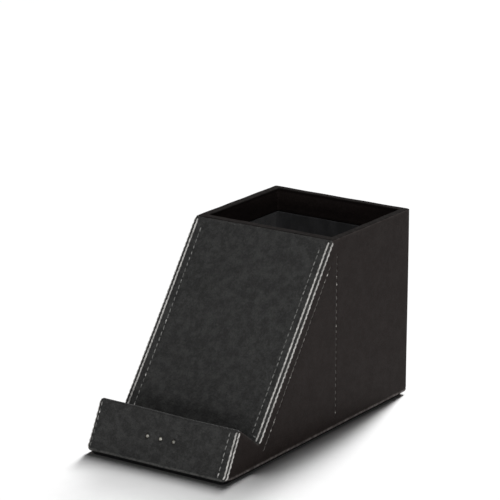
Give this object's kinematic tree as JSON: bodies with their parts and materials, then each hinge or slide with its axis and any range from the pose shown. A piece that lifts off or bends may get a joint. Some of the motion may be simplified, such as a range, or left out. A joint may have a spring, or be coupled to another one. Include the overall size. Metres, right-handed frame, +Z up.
{
  "type": "wireless charging stand with pen cup",
  "caption": "Leather covered desk stand with a slanted wireless charging face, a phone ledge with indicator lights on its lip, and an open pen cup behind.",
  "frame": {"origin": "on the floor, below the middle of the footprint", "axes": "+X to the object's own left as it faces the user, which is right in a front view; +Y from the lip back to the pen cup; +Z up"},
  "size_m": [0.0844, 0.171, 0.103],
  "materials": {
    "front_leather": "satin",
    "side_leather": "satin",
    "corner_thread": "matt",
    "row_thread": "matt",
    "pad_foam": "matt",
    "fibre_board": "matt",
    "suede": "matt",
    "copper": "satin",
    "ferrite": "matt",
    "tray_plastic": "matt",
    "steel": "satin",
    "circuit_board": "gloss",
    "nylon": "matt",
    "chip_black": "matt",
    "capacitor_tan": "matt",
    "led_white": "gloss",
    "lens": "gloss",
    "ribbon_cable": "satin"
  },
  "bodies": {
    "root": {"base_pad": "pad_foam", "base_board": "fibre_board", "side_board_left": "fibre_board", "side_board_right": "fibre_board", "lip_board": "fibre_board", "ledge_board": "fibre_board", "charging_board": "fibre_board", "divider_board": "fibre_board", "back_board": "fibre_board", "cup_floor": "fibre_board", "floor_rail_left": "fibre_board", "floor_rail_right": "fibre_board", "side_cover_left": "side_leather", "side_cover_right": "side_leather", "lip_cover": "front_leather", "ledge_cover": "front_leather", "charging_cover": "front_leather", "back_cover": "side_leather", "rim_binding": "side_leather", "cup_lining_left": "suede", "cup_lining_right": "suede", "cup_lining_front": "suede", "cup_lining_back": "suede", "cup_lining_floor": "suede", "charging_coil": "copper", "ferrite_sheet": "ferrite", "coil_tray": "tray_plastic", "tray_screws": "steel", "control_board": "circuit_board", "board_standoffs": "nylon", "board_screws": "steel", "control_chips": "chip_black", "resonant_capacitors": "capacitor_tan", "power_inductor": "chip_black", "usb_socket": "steel", "socket_tongue": "tray_plastic", "socket_bezel": "tray_plastic", "led_board": "circuit_board", "led_tape": "nylon", "indicator_leds": "led_white", "indicator_lenses": "lens", "coil_ribbon": "ribbon_cable", "led_ribbon": "ribbon_cable", "corner_stitching_left": "corner_thread", "corner_stitching_right": "corner_thread", "face_stitching_left": "row_thread", "face_stitching_right": "row_thread", "side_stitching_left": "row_thread", "side_stitching_right": "row_thread"}
  },
  "joints": []
}
